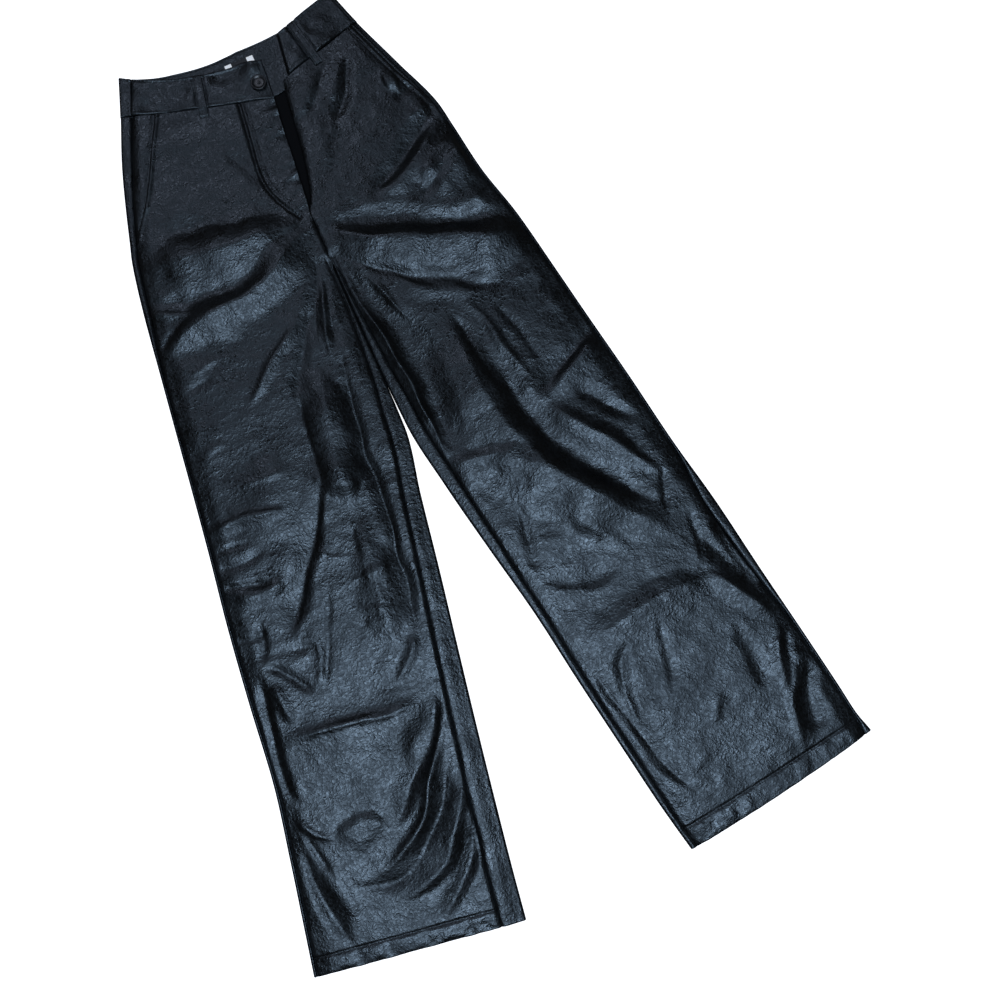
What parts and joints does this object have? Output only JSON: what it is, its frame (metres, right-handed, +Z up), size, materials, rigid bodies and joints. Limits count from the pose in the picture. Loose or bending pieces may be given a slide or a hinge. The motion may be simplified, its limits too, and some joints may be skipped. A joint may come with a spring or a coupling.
{
  "type": "leather trousers laid flat",
  "caption": "High-waisted wide-leg black leather trousers lying flat, with slanted pockets, a fly with a buttoned tab and belt loops",
  "frame": {"origin": "middle of the box round the trousers, on the surface they lie on", "axes": "+X to the wearer's left, +Y to the waist, +Z up out of the front"},
  "size_m": [0.684, 1.1253, 0.0152],
  "materials": {
    "leather": "black pebbled leather with a soft satin sheen",
    "zip_tape": "black woven zip tape with a closed coil",
    "black_metal": "black enamelled metal",
    "button": "black polished resin",
    "label": "black satin tape with white ends, plain"
  },
  "bodies": {
    "root": {"front_right": "leather", "front_left": "leather", "back_right": "leather", "back_left": "leather", "pocket_facing_right": "leather", "pocket_facing_left": "leather", "waistband_back": "leather", "waistband_front_right": "leather", "waistband_front_left": "leather", "fly_shield": "leather", "belt_loop_front_right": "leather", "belt_loop_front_left": "leather", "belt_loop_back_right": "leather", "belt_loop_back_centre": "leather", "belt_loop_back_left": "leather", "zip": "zip_tape", "zip_slider": "black_metal", "button": "button", "waist_label": "label"}
  },
  "joints": []
}
